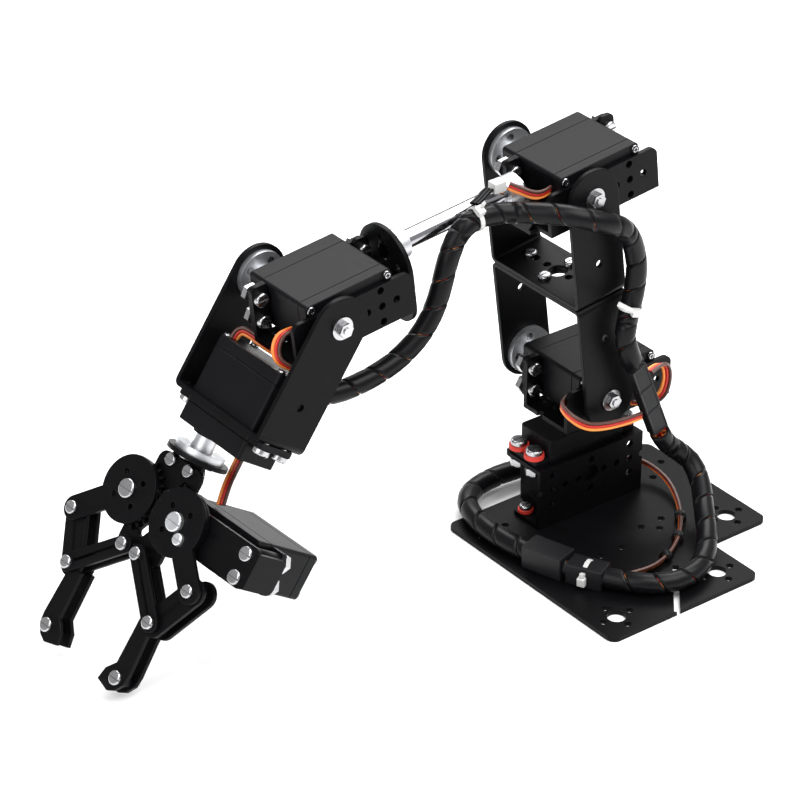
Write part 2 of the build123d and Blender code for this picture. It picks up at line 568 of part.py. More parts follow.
def disc_holes(side):
    return [rod(1.2, GEAR_Z0 - 1, ARM_Z1 + 1, *disc_spot(side, turn)) for turn in (0, 90, 180, 270)]


def drive_arm(side):
    """Gear, front disc with four holes and the arm to the finger, in the claw's frame."""
    x0, y0 = side * GEAR_X, -GEAR_S
    x1, y1 = link_end(x0, y0, side)
    arm = rod(DISC_R, GEAR_Z1, ARM_Z1, x0, y0) + bar(x0, y0, x1, y1, 10.0, GEAR_Z1, ARM_Z1)
    arm = arm - rod(M3_R + PIVOT_GAP, -5, 20, x1, y1)
    return cut(arm, disc_holes(side))


def rocker(side):
    """Front and rear bars of the link that keeps a finger square."""
    x0, y0 = side * ROCKER_X, -ROCKER_S
    x1, y1 = link_end(x0, y0, side)
    bars = [bar(x0, y0, x1, y1, 7.6, z0, z1) for z0, z1 in ((GEAR_Z1, ARM_Z1), REAR_ROCKER)]
    holes = [rod(M3_R + PIVOT_GAP, -5, 20, x, y) for x, y in ((x0, y0), (x1, y1))]
    return [cut(item, holes) for item in bars]


def finger(side):
    """Two plates, cranked inward at the tip, with a spacer at each pivot and at the tip."""
    ax, ay = link_end(side * GEAR_X, -GEAR_S, side)
    bx, by = link_end(side * ROCKER_X, -ROCKER_S, side)
    hook = [(25.6, 136), (26.9, 157.5), (26.4, 161.8), (23.6, 165.6), (20.0, 167.4), (13.2, 165.6),
            (14.4, 160.2), (18.3, 155.9), (18.6, 136)]
    found = []
    for z0, z1 in (FINGER_FRONT, FINGER_REAR):
        outline = Polygon(*[(side * x, -s - 1.0) for x, s in hook], align=None)
        tip = Pos(0, 0, z0) * extrude(outline, z1 - z0, dir=(0, 0, 1))
        plate = bar(ax, ay, bx, by, 11.0, z0, z1) + tip + rod(5.4, z0, z1, bx, by)
        plate = plate - rod(M3_R, -5, 20, ax, ay) - rod(M3_R, -5, 20, bx, by)
        found.append(plate - rod(M3_R, -5, 20, side * 22.0, -162.0))
    found.append(ring(3.0, M3_R, FINGER_REAR[1], FINGER_FRONT[0], side * 22.0, -162.0))
    found.append(ring(3.0, M3_R, FINGER_REAR[1], FINGER_FRONT[0], ax, ay))
    return found


def pivot(x, y):
    """A pan-head pivot screw through a finger's two plates, with a spacer tube and a nut."""
    return [pan_screw(ARM_Z1 + 0.1, FINGER_REAR[0] - 2.5, x, y, r=M3_R),
            hexagon(FINGER_REAR[0] - 2.2, FINGER_REAR[0], x, y) - rod(M3_R, -9, 9, x, y)]


add("claw_mount", claw, claw_mount())
add("claw_frame", claw, claw_frame(),
    *[ring(3.4, 1.9, TAB_FACE, FRAME_Z0, GEAR_X + x, -GEAR_S + y) for x, y in TAB_HOLES])
roll_bolts = [Rot(0, 0, CLAW_ROLL) * bolt for bolt in horn_bolts(HORN_FACE + SHEET, HORN_FACE - HORN_T)]
claw_servo = claw * Pos(GEAR_X, -GEAR_S, GEAR_Z0 - HORN_FACE)
make_servo("claw", claw_servo, "claw_horn", screw_seat=HORN_FACE + ARM_Z1 - GEAR_Z0, proud_rows=(False, True))


def claw_fasteners():
    found = []
    for x in (-5.3, 5.3):
        found.append(pan_screw(CLAW_PLATE_Z, FRAME_Z0 - SHEET - 2.6, x, -MOUNT_S - 6.5, r=1.45))
        found.append(hexagon(FRAME_Z0 - SHEET - 2.3, FRAME_Z0 - SHEET, x, -MOUNT_S - 6.5)
                     - rod(1.45, -9, 9, x, -MOUNT_S - 6.5))
    for x, y in TAB_HOLES:
        spot = (GEAR_X + x, -GEAR_S + y)
        sunk = 1.4 if x < 0 else 0.0
        found.append(pan_screw(CLAW_PLATE_Z - sunk, TAB_FACE - TAB_T - 4.0, *spot, r=1.9, head_r=3.1,
                               head_h=1.9 - sunk / 2.5))
        found.append(hexagon(TAB_FACE - TAB_T - 2.8, TAB_FACE - TAB_T, *spot, 7.0) - rod(1.9, -40, 20, *spot))
    found.append(pan_screw(ARM_Z1 + 0.1, FRAME_Z0 - 2.9, -GEAR_X, -GEAR_S, r=M3_R - 0.05, head_r=4.0))
    found.append(hexagon(FRAME_Z0 - 2.4, FRAME_Z0, -GEAR_X, -GEAR_S)
                 - rod(M3_R - 0.05, -5, 5, -GEAR_X, -GEAR_S))
    for side in (-1, 1):
        x = side * ROCKER_X
        found.append(pan_screw(ARM_Z1 + 0.1, REAR_ROCKER[0] - 2.8, x, -ROCKER_S, r=M3_R))
        found.append(hexagon(REAR_ROCKER[0] - 2.5, REAR_ROCKER[0] - 0.1, x, -ROCKER_S)
                     - rod(M3_R, -9, 9, x, -ROCKER_S))
        found.append(ring(SPACER_R, M3_R, CLAW_PLATE_Z, GEAR_Z1 - 0.1, x, -ROCKER_S))
    return found


add("claw_horn", claw, pan_screw(ARM_Z1, GEAR_Z0 + 0.4, *disc_spot(1, 0), r=1.15, head_r=2.5))
add("claw_screws", claw, *claw_fasteners())
add("claw_screws", roll_servo, *roll_bolts)
for side, label in ((1, "right"), (-1, "left")):
    x0 = side * GEAR_X
    centre = Pos(x0, -GEAR_S, GEAR_Z0)
    turn = 0 if side > 0 else 180.0 / TOOTH_COUNT + 180
    bore = rod(M3_R, -5, 20, x0, -GEAR_S)
    toothed = cut(centre * Rot(0, 0, turn) * gear(), disc_holes(side))
    add(label + "_drive_arm", claw, toothed - bore, drive_arm(side) - bore)
    add(label + "_rocker", claw, *rocker(side))
    add(label + "_finger", claw, *finger(side))
    ax, ay = link_end(x0, -GEAR_S, side)
    bx, by = link_end(side * ROCKER_X, -ROCKER_S, side)
    add(label + "_finger_screws", claw, *pivot(ax, ay), *pivot(bx, by))
    add(label + "_finger_screws", claw,
        *[pan_screw(FINGER_FRONT[1], -2.6, side * 22.0, -162.0, r=M3_R, head_r=3.0),
          hexagon(-2.2, FINGER_REAR[0], side * 22.0, -162.0) - rod(M3_R, -9, 9, side * 22.0, -162.0)])

# ---- wiring: routes are in the object's own frame, at rest -------------------------------
BUNDLE_R = 4.4         # spiral-wrapped bundle
LEAD_R = 1.5           # a servo's own three-wire lead
WORLD = Pos(0, 0, 0)


# The bundle on the base runs round the plate and climbs to the turret's first connector.
BASE_ROUTE = [(6, -23, 6.6), (20, -25.5, 6.6), (36, -26, 6.6), (50, -21.5, 6.6), (57.5, -9, 6.6), (59.5, 8, 6.6),
              (57, 28, 6.6), (51, 48, 6.6), (42.5, 64.5, 6.6), (33.5, 77, 6.6), (20.5, 83.5, 6.6), (5.5, 80, 7),
              (-6.5, 69, 9.5), (-15.5, 56, 13.5), (-23.5, 45, 18), (-25.5, 37, 24), (-20, 33, 30),
              (-14, 32, 35), (-10.05, 32, 42.3)]
# From the top connector it climbs the upper arm, crosses to the tube and loops to the wrist.
ARM_ROUTE = [(6.1, 32.3, 80.8), (9, 32, 87), (10.5, 31, 95), (7, 30, 105), (4.5, 30.5, 118), (5.5, 31, 130),
             (10.5, 32, 141.5), (18.5, 34, 149), (28, 34, 153), (36.5, 30, 156.5), (43, 23, 157),
             (50, 15.5, 156.5), (58, 10.5, 157), (67, 9.3, 158.2), (76, 9.3, 157.3), (83, 9.6, 150.5),
             (87, 10, 139.5), (90.5, 10, 127), (98, 10, 115.5), (110.5, 10, 107.5), (125, 10, 104),
             (138, 9, 102.5), (148, 7, 103.5), (157.1, 6, 106.5)]
YAW_LEAD = [(-10.6, 0, 11), (-17, 0.5, 11.5), (-23, 4, 10.5), (-26.5, 12, 8.5), (-26, 23, 6.5), (-20, 36, 4.4),
            (-10.5, 48, 3.8), (0.5, 57.5, 3.8), (12, 63.5, 3.8), (24, 65.5, 3.8), (35, 62, 3.8)]
SHOULDER_LEAD = [(21.9, 12.5, 62), (28, 14, 61.5), (32.5, 19, 62.5), (33, 26, 61), (28, 30, 57), (20, 31, 54.8),
                 (11, 31.2, 53.4), (4.5, 31.7, 53.2), (0, 32, 53.4)]
WALL_LEAD = [(-5.2, 30, 71.8), (-10.5, 29.5, 73.5), (-15.5, 29, 70.5), (-16.8, 28.5, 63), (-15.5, 27, 54.5),
             (-10.5, 22, 50.8), (-5.5, 19.4, 51.8)]
ELBOW_LEAD = [(34.6, 10.5, 160), (38.5, 12.5, 160.3), (44, 12.3, 160.8), (48.6, 8.6, 163.3), (51.5, 5.2, 164.8)]
ELBOW_TAIL = [(59.9, 3.4, 165), (63.5, 5, 165.2), (67.5, 7.5, 164.9), (72, 9.2, 164.6)]
WRIST_LEAD = [(157.3, 6.5, 136.4), (162, 6.5, 136.6), (165.6, 6.8, 133.6), (166.9, 7.8, 128.6), (165.3, 10, 124.5),
              (161, 14, 122.9)]
ROLL_LEAD = [(166.9, -20.5, 123.2), (164.4, -20.3, 126.8), (161.9, -16.5, 125.4), (160.4, -12.3, 123.2),
             (159.6, -7, 122.4), (159.4, -1, 122.6)]
CLAW_LEAD = [(-11.9, -1, -54.5), (-13.2, -2.5, -63.5), (-14, -3, -72), (-11.3, 0, -79.5), (-10, 3.5, -86)]
END_GAP = 0.1          # between two stretches of a bundle that meet


def stretches(route, cuts):
    """The route cut in two half way along each run that cuts names by its first point."""
    found = []
    start = 0
    lead_in = []
    for at in cuts:
        here, there = Vector(*route[at]), Vector(*route[at + 1])
        middle = (here + there) / 2
        step = (there - here).normalized() * END_GAP
        found.append(lead_in + route[start:at + 1] + [tuple(middle - step)])
        lead_in = [tuple(middle + step)]
        start = at + 1
    return found + [lead_in + route[start:]]


def wire_block(x, y, z, lean, size=(8.0, 5.0, 13.0)):
    """A flat connector block, leaning forward by that many degrees."""
    block_body = Pos(x, y, z) * Rot(0, lean, 0) * Box(*size)
    return fillet(block_body.edges(), 0.5)


def bundle(points):
    return tube_along(points, BUNDLE_R)


def lead(points):
    return tube_along(points, LEAD_R)


BLOCKS = [(-7 + 4.6 * step, 32, 49.5 + 11.5 * step) for step in range(3)]
base_run, yaw_run = stretches(BASE_ROUTE, [16])
shoulder_run, arm_run, elbow_run, forearm_run, wrist_run = stretches(ARM_ROUTE, [2, 6, 11, 14])
add("base_wiring", WORLD, bundle(base_run), lead(YAW_LEAD), wire_block(1, -21.5, 6.6, 90, (8.0, 9.0, 9.0)))
add("turret_wiring", WORLD, *[wire_block(x, y, z, 22) for x, y, z in BLOCKS],
    lead(SHOULDER_LEAD), lead(WALL_LEAD))
add("upper_arm_wiring", WORLD, bundle(arm_run))
add("forearm_wiring", WORLD, bundle(forearm_run), lead(ELBOW_LEAD), lead(ELBOW_TAIL),
    wire_block(55.9, 3.6, 165.4, 0, (6.0, 5.0, 5.0)))
add("yaw_loop", WORLD, bundle(yaw_run))
add("shoulder_loop", WORLD, bundle(shoulder_run))
add("elbow_loop", WORLD, bundle(elbow_run))
add("wrist_loop", WORLD, bundle(wrist_run), lead(WRIST_LEAD), lead(ROLL_LEAD))
add("claw_lead", yoke, lead(CLAW_LEAD))

for name, shapes in NODES.items():
    export_step(group(shapes), f"parts/{name}.step")
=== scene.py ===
import json
import math

import bmesh
import bpy
import numpy as np
from mathutils import Matrix, Vector


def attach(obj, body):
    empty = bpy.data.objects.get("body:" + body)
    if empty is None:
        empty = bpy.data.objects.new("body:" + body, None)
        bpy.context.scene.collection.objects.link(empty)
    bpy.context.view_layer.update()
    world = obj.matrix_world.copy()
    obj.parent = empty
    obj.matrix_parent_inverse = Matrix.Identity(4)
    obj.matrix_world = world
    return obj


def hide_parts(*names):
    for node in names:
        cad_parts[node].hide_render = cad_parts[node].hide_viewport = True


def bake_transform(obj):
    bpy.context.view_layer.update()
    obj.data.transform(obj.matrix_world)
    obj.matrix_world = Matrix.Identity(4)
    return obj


# The looks of a desktop servo arm: finishes for its machined and moulded parts, detailed wiring
# in place of the plain tubes, and the servo cases' screw heads. Metres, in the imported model's frame.

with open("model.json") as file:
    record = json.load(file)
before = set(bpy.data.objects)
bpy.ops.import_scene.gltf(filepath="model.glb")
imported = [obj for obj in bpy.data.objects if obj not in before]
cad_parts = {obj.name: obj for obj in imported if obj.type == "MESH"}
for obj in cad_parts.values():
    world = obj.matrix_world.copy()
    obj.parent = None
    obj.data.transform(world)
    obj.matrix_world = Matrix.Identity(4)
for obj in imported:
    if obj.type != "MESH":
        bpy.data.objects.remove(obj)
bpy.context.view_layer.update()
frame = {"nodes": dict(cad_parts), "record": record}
MM = 0.001


# ---- camera, light and floor ------------------------------------------------------------
AZIMUTH = 52.82        # camera round from +X towards +Y, degrees
ELEVATION = 30.46
FIELD_OF_VIEW = 13.73
DISTANCE = 1.337
AIM = Vector((98.5, -3.8, 79.07)) * MM


def direction(azimuth, elevation):
    """Unit vector from the object towards that direction, in degrees."""
    a, e = math.radians(azimuth), math.radians(elevation)
    return Vector((math.cos(a) * math.cos(e), math.sin(a) * math.cos(e), math.sin(e)))


def looking_at_object(away, distance):
    """Placement of something that looks at the object from a direction and a distance."""
    return Matrix.Translation(AIM + away * distance) @ away.to_track_quat("Z", "Y").to_matrix().to_4x4()


def add_camera():
    data = bpy.data.cameras.new("camera")
    data.angle = math.radians(FIELD_OF_VIEW)
    camera = bpy.data.objects.new("camera", data)
    bpy.context.scene.collection.objects.link(camera)
    camera.matrix_world = looking_at_object(direction(AZIMUTH, ELEVATION), DISTANCE)
    bpy.context.scene.camera = camera


def add_area_light(name, azimuth, elevation, distance, size, power):
    data = bpy.data.lights.new(name, "AREA")
    data.shape = "RECTANGLE"
    data.size, data.size_y = size
    data.energy = power
    light = bpy.data.objects.new(name, data)
    bpy.context.scene.collection.objects.link(light)
    light.matrix_world = looking_at_object(direction(azimuth, elevation), distance)


def add_world():
    world = bpy.data.worlds.new("studio")
    world.use_nodes = True
    background = world.node_tree.nodes["Background"]
    background.inputs["Color"].default_value = (1.0, 1.0, 1.0, 1.0)
    background.inputs["Strength"].default_value = 0.55
    bpy.context.scene.world = world
    bpy.context.scene.view_settings.view_transform = "Standard"


def add_floor(material):
    mesh = bpy.data.meshes.new("floor")
    reach = 6.0
    corners = [(-reach, -reach, 0), (reach, -reach, 0), (reach, reach, 0), (-reach, reach, 0)]
    mesh.from_pydata(corners, [], [(0, 1, 2, 3)])
    mesh.materials.append(material)
    floor = bpy.data.objects.new("floor", mesh)
    bpy.context.scene.collection.objects.link(floor)


# ---- materials --------------------------------------------------------------------------
def finish(name, colour, roughness, metallic=0.0, grain=1500.0, bump=0.1, spread=0.08, tint=0.15,
           specular=0.5):
    """A surface whose colour and roughness vary gently and whose grain is a fine bump."""
    material = bpy.data.materials.new(name)
    material.use_nodes = True
    nodes, links = material.node_tree.nodes, material.node_tree.links
    shader = nodes["Principled BSDF"]
    shader.inputs["Metallic"].default_value = metallic
    shader.inputs["Specular IOR Level"].default_value = specular
    place = nodes.new("ShaderNodeTexCoord")
    broad = nodes.new("ShaderNodeTexNoise")
    broad.inputs["Scale"].default_value = 90.0
    broad.inputs["Detail"].default_value = 5.0
    links.new(place.outputs["Object"], broad.inputs["Vector"])
    fine = nodes.new("ShaderNodeTexNoise")
    fine.inputs["Scale"].default_value = grain
    fine.inputs["Detail"].default_value = 3.0
    links.new(place.outputs["Object"], fine.inputs["Vector"])
    shade = nodes.new("ShaderNodeValToRGB")
    shade.color_ramp.elements[0].position = 0.3
    shade.color_ramp.elements[1].position = 0.7
    shade.color_ramp.elements[0].color = [c * (1 - tint) for c in colour] + [1.0]
    shade.color_ramp.elements[1].color = [min(1.0, c * (1 + tint)) for c in colour] + [1.0]
    links.new(broad.outputs["Fac"], shade.inputs["Fac"])
    links.new(shade.outputs["Color"], shader.inputs["Base Color"])
    rough = nodes.new("ShaderNodeMapRange")
    rough.inputs["To Min"].default_value = max(0.03, roughness - spread)
    rough.inputs["To Max"].default_value = min(1.0, roughness + spread)
    links.new(fine.outputs["Fac"], rough.inputs["Value"])
    links.new(rough.outputs["Result"], shader.inputs["Roughness"])
    relief = nodes.new("ShaderNodeBump")
    relief.inputs["Strength"].default_value = bump
    relief.inputs["Distance"].default_value = 0.0002
    links.new(fine.outputs["Fac"], relief.inputs["Height"])
    links.new(relief.outputs["Normal"], shader.inputs["Normal"])
    return material


BLACK_SHEET = finish("black_sheet", (0.0024, 0.0024, 0.0029), 0.38,
                     grain=2600, bump=0.10, specular=0.08)
SERVO_PLASTIC = finish("servo_plastic", (0.0034, 0.0034, 0.0042), 0.42,
                       grain=1900, bump=0.15, specular=0.10)
SERVO_DRIVE = finish("servo_drive", (0.42, 0.42, 0.44), 0.35, metallic=1.0, grain=900)
HORN_METAL = finish("horn_metal", (0.62, 0.63, 0.65), 0.42, metallic=1.0,
                    grain=700, bump=0.02, spread=0.04)
FASTENER = finish("fastener", (0.42, 0.42, 0.43), 0.24, metallic=1.0, grain=900, bump=0.03)
FIBRE_RED = finish("fibre_red", (0.55, 0.030, 0.018), 0.60, grain=2200, bump=0.4)
TUBE_METAL = finish("tube_metal", (0.36, 0.36, 0.38), 0.16, metallic=1.0,
                    grain=500, bump=0.02, spread=0.03)
WRAP = finish("wire_wrap", (0.0035, 0.0035, 0.0042), 0.34, grain=1300, bump=0.06, specular=0.14)
HOUSING = finish("connector_housing", (0.006, 0.006, 0.007), 0.42, grain=1700, bump=0.1, specular=0.2)
NYLON = finish("nylon", (0.52, 0.52, 0.51), 0.38, grain=1200, bump=0.08, tint=0.04)
WIRE_BROWN = finish("wire_brown", (0.075, 0.030, 0.022), 0.38, grain=1500, bump=0.06)
WIRE_RED = finish("wire_red", (0.50, 0.016, 0.010), 0.36, grain=1500, bump=0.06)
WIRE_ORANGE = finish("wire_orange", (0.88, 0.27, 0.05), 0.36, grain=1500, bump=0.06)
FLOOR = finish("floor", (0.93, 0.93, 0.93), 0.75, grain=300, bump=0.0, tint=0.01)
WIRES = (WIRE_BROWN, WIRE_RED, WIRE_ORANGE)
BY_SLOT = {"black_sheet": BLACK_SHEET, "servo_plastic": SERVO_PLASTIC, "servo_drive": SERVO_DRIVE,
           "horn_metal": HORN_METAL, "fastener": FASTENER, "fibre_red": FIBRE_RED, "tube_metal": TUBE_METAL,
           "wire_wrap": WRAP}
SHEET_EDGE = 0.25      # broken edge of the sheet metal, millimetres


def finish_cad_nodes():
    """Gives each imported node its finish, and breaks the sharp edges of the sheet metal."""
    for part in frame["record"]["subparts"]:
        node = frame["nodes"][part["node"]]
        node.data.materials.clear()
        node.data.materials.append(BY_SLOT[part["material_slot"]])
        if part["material_slot"] == "black_sheet":
            weld = node.modifiers.new("joined_faces", "WELD")
            weld.merge_threshold = 0.002 * MM
            bevel = node.modifiers.new("edge_break", "BEVEL")
            bevel.width = SHEET_EDGE * MM
            bevel.segments = 2
            bevel.limit_method = "ANGLE"
            bevel.angle_limit = math.radians(50)
            bevel.harden_normals = False


# ---- wiring -----------------------------------------------------------------------------
BUNDLE_R = 4.4         # outside of the spiral wrap, millimetres
CORE_R = 3.7           # bundle of leads inside it
WRAP_PITCH = 12.5
WRAP_WIDTH = 12.2
STRAND_COUNT = 9
LAY_LENGTH = 90.0      # of one turn of the leads inside the wrap
WIRE_R = 0.72          # one wire of a flat lead
WIRE_PITCH = 1.38
TIE_WIDTH = 2.0
TIE_THICK = 0.7

# Centre lines as control points, in millimetres.
BASE_ROUTE = [(6, -23, 6.6), (20, -25.5, 6.6), (36, -26, 6.6), (50, -21.5, 6.6), (57.5, -9, 6.6),
              (59.5, 8, 6.6), (57, 28, 6.6), (51, 48, 6.6), (42.5, 64.5, 6.6), (33.5, 77, 6.6),
              (20.5, 83.5, 6.6), (5.5, 80, 7), (-6.5, 69, 9.5), (-15.5, 56, 13.5), (-23.5, 45, 18),
              (-25.5, 37, 24), (-20, 33, 30), (-14, 32, 35), (-10.05, 32, 42.3)]
ARM_ROUTE = [(6.1, 32.3, 80.8), (9, 32, 87), (10.5, 31, 95), (7, 30, 105), (4.5, 30.5, 118), (5.5, 31, 130),
             (10.5, 32, 141.5), (18.5, 34, 149), (28, 34, 153), (36.5, 30, 156.5), (43, 23, 157),
             (50, 15.5, 156.5), (58, 10.5, 157), (67, 9.3, 158.2), (76, 9.3, 157.3), (83, 9.6, 150.5),
             (87, 10, 139.5), (90.5, 10, 127), (98, 10, 115.5), (110.5, 10, 107.5), (125, 10, 104),
             (138, 9, 102.5), (148, 7, 103.5), (157.1, 6, 106.5)]
YAW_LEAD = [(-10.6, 0, 11), (-17, 0.5, 11.5), (-23, 4, 10.5), (-26.5, 12, 8.5), (-26, 23, 6.5),
            (-20, 36, 4.4), (-10.5, 48, 3.8), (0.5, 57.5, 3.8), (12, 63.5, 3.8), (24, 65.5, 3.8),
            (35, 62, 3.8)]
SHOULDER_LEAD = [(21.9, 12.5, 62), (28, 14, 61.5), (32.5, 19, 62.5), (33, 26, 61), (28, 30, 57),
                 (20, 31, 54.8), (11, 31.2, 53.4), (4.5, 31.7, 53.2), (0, 32, 53.4)]
WALL_LEAD = [(-5.2, 30, 71.8), (-10.5, 29.5, 73.5), (-15.5, 29, 70.5), (-16.8, 28.5, 63), (-15.5, 27, 54.5),
             (-10.5, 22, 50.8), (-5.5, 19.4, 51.8)]
ELBOW_LEAD = [(34.6, 10.5, 160), (38.5, 12.5, 160.3), (44, 12.3, 160.8), (48.6, 8.6, 163.3),
              (51.5, 5.2, 164.8)]
ELBOW_TAIL = [(59.9, 3.4, 165), (63.5, 5, 165.2), (67.5, 7.5, 164.9), (72, 9.2, 164.6)]
WRIST_LEAD = [(157.3, 6.5, 136.4), (162, 6.5, 136.6), (165.6, 6.8, 133.6), (166.9, 7.8, 128.6),
              (165.3, 10, 124.5), (161, 14, 122.9)]
ROLL_LEAD = [(166.9, -20.5, 123.2), (164.4, -20.3, 126.8), (161.9, -16.5, 125.4), (160.4, -12.3, 123.2),
             (159.6, -7, 122.4), (159.4, -1, 122.6)]
WRIST_AXIS = Vector((147.111, -4.5, 140.957))
YOKE_TURN = Matrix.Rotation(math.radians(-35.0), 3, "Y")
CLAW_LEAD_IN_YOKE = [(-11.9, -1, -54.5), (-13.2, -2.5, -63.5), (-14, -3, -72), (-11.3, 0, -79.5),
                     (-10, 3.5, -86)]
CLAW_LEAD = [tuple(WRIST_AXIS + YOKE_TURN @ Vector(point)) for point in CLAW_LEAD_IN_YOKE]


def centre_line(route):
    """Points along the route's smooth spline, in metres."""
    curve = bpy.data.curves.new("route", "CURVE")
    curve.dimensions = "3D"
    curve.resolution_u = 12
    spline = curve.splines.new("NURBS")
    spline.points.add(len(route) - 1)
    for point, place in zip(spline.points, route):
        point.co = (place[0] * MM, place[1] * MM, place[2] * MM, 1.0)
    spline.order_u = 3
    spline.use_endpoint_u = True
    holder = bpy.data.objects.new("route", curve)
    mesh = bpy.data.meshes.new_from_object(holder)
    line = [vertex.co.copy() for vertex in mesh.vertices]
    bpy.data.objects.remove(holder)
    bpy.data.curves.remove(curve)
    bpy.data.meshes.remove(mesh)
    return line


class Path:
    """A centre line with its lengths and a frame that doesn't twist along it."""

    def __init__(self, line):
        self.line = line
        self.at = [0.0]
        for a, b in zip(line, line[1:]):
            self.at.append(self.at[-1] + (b - a).length)
        self.length = self.at[-1]
        before, after = [line[0]] + line[:-1], line[1:] + [line[-1]]
        self.forward = [(b - a).normalized() for a, b in zip(before, after)]
        side = self.forward[0].cross(Vector((0, 0, 1)))
        side = side if side.length > 0.1 else Vector((1, 0, 0))
        self.side = []
        for forward in self.forward:
            side = (side - forward * side.dot(forward)).normalized()
            self.side.append(side)

    def frame(self, distance):
        """Place, forward and side that far along; past either end it runs straight on."""
        i = 0
        while i < len(self.at) - 2 and self.at[i + 1] < distance:
            i += 1
        t = (distance - self.at[i]) / (self.at[i + 1] - self.at[i])
        place = self.line[i].lerp(self.line[i + 1], t)
        t = min(1.0, max(0.0, t))
        forward = self.forward[i].lerp(self.forward[i + 1], t).normalized()
        side = self.side[i].lerp(self.side[i + 1], t)
        side = (side - forward * side.dot(forward)).normalized()
        return place, forward, side

    def point(self, distance, angle, radius):
        place, forward, side = self.frame(distance)
        up = forward.cross(side)
        return place + (side * math.cos(angle) + up * math.sin(angle)) * radius

    def nearest(self, point):
        """How far along the line is closest to a point in millimetres."""
        target = Vector(point) * MM
        best = min(range(len(self.line)), key=lambda i: (self.line[i] - target).length)
        return self.at[best]


def make_piece(name, points, faces, materials, indices=None, smooth=True):
    mesh = bpy.data.meshes.new(name)
    mesh.from_pydata([tuple(p) for p in points], [], faces)
    for material in materials:
        mesh.materials.append(material)
    for i, face in enumerate(mesh.polygons):
        face.use_smooth = smooth
        if indices:
            face.material_index = indices[i]
    mesh.validate()
    mesh.update()
    piece = bpy.data.objects.new(name, mesh)
    bpy.context.scene.collection.objects.link(piece)
    return piece


def grid_faces(rows, columns, closed):
    faces = []
    for r in range(rows - 1):
        for c in range(columns if closed else columns - 1):
            n = (c + 1) % columns
            faces.append((r * columns + c, r * columns + n, (r + 1) * columns + n, (r + 1) * columns + c))
    return faces


def wrap_band(name, path, start, end):
    """Spiral wrap: one band wound round the bundle, thin at its edges and lapped like a scale."""
    steps_per_turn = 30
    profile = [(-0.5, -0.75), (-0.5, -0.18), (-0.40, 0.0), (0.0, 0.0), (0.38, -0.04), (0.48, -0.20),
               (0.5, -0.75)]  # share of the width along, millimetres out from the radius
    first = math.floor((start / (WRAP_PITCH * MM) - 0.5) * steps_per_turn)
    last = math.ceil((end / (WRAP_PITCH * MM) + 0.5) * steps_per_turn)
    points = []
    for step in range(first, last + 1):
        turn = step / steps_per_turn
        for across, sink in profile:
            along = (turn * WRAP_PITCH + across * WRAP_WIDTH) * MM
            along = min(end, max(start, along))
            points.append(path.point(along, 2 * math.pi * turn, (BUNDLE_R + sink) * MM))
    faces = grid_faces(last - first + 1, len(profile), False)
    return make_piece(name, points, faces, [WRAP])


def core_strands(name, path, start, end):
    """The leads inside the wrap: strands laid round each other in three colours."""
    overlap = 1.05
    strand_r = CORE_R * math.sin(math.pi / STRAND_COUNT) * overlap
    sides = 6
    rows = max(3, int((end - start) / (3 * MM)))
    points, faces, indices = [], [], []
    for strand in range(STRAND_COUNT):
        base = len(points)
        for row in range(rows + 1):
            along = start + (end - start) * row / rows
            twist = 2 * math.pi * (strand / STRAND_COUNT + along / (LAY_LENGTH * MM))
            centre = path.point(along, twist, (CORE_R - strand_r) * MM)
            forward, side = path.frame(along)[1:]
            up = forward.cross(side)
            for k in range(sides):
                a = 2 * math.pi * k / sides
                points.append(centre + (side * math.cos(a) + up * math.sin(a)) * strand_r * MM)
        made = grid_faces(rows + 1, sides, True)
        faces += [tuple(base + v for v in face) for face in made]
        indices += [strand % 3] * len(made)
    return make_piece(name, points, faces, WIRES, indices)


def lead_ribbon(name, path, side_hint, colours=WIRES):
    """A flat servo lead: three round wires side by side, the first one towards side_hint."""
    sides = 10
    rows = max(4, int(path.length / (1.2 * MM)))
    hint = Vector(side_hint)
    points, faces, indices = [], [], []
    for wire, offset in enumerate((WIRE_PITCH, 0.0, -WIRE_PITCH)):
        base = len(points)
        for row in range(rows + 1):
            place, forward = path.frame(path.length * row / rows)[:2]
            side = across(hint, forward)
            up = forward.cross(side)
            centre = place + side * offset * MM
            for k in range(sides):
                a = 2 * math.pi * k / sides
                points.append(centre + (side * math.cos(a) + up * math.sin(a)) * WIRE_R * MM)
        made = grid_faces(rows + 1, sides, True)
        faces += [tuple(base + v for v in face) for face in made]
        indices += [wire] * len(made)
    return make_piece(name, points, faces, colours, indices)


def rounded_box(name, centre, size, turn, material, socketed=False):
    """A moulded housing with broken edges; a socketed one has a sunk end and a sunk side panel."""
    edge = 0.5
    shape = bmesh.new()
    bmesh.ops.create_cube(shape, size=1.0)
    for vertex in shape.verts:
        vertex.co = Vector((vertex.co.x * size[0], vertex.co.y * size[1], vertex.co.z * size[2])) * MM
    bmesh.ops.bevel(shape, geom=shape.edges[:], offset=edge * MM, segments=3, profile=0.6, affect="EDGES")
    if socketed:
        top = max(shape.faces, key=lambda f: f.calc_center_median().z)
        bmesh.ops.inset_region(shape, faces=[top], thickness=0.7 * MM, depth=-1.2 * MM)
        front = max(shape.faces, key=lambda f: f.calc_center_median().y * f.calc_area())
        bmesh.ops.inset_region(shape, faces=[front], thickness=1.0 * MM, depth=-0.3 * MM)
    mesh = bpy.data.meshes.new(name)
    shape.to_mesh(mesh)
    shape.free()
    mesh.materials.append(material)
    piece = bpy.data.objects.new(name, mesh)
    bpy.context.scene.collection.objects.link(piece)
    piece.matrix_world = Matrix.Translation(Vector(centre) * MM) @ turn.to_4x4()
    return piece


def across(direction, forward):
    """The part of a direction that is square to the line, as a unit vector."""
    wanted = Vector(direction)
    return (wanted - forward * wanted.dot(forward)).normalized()


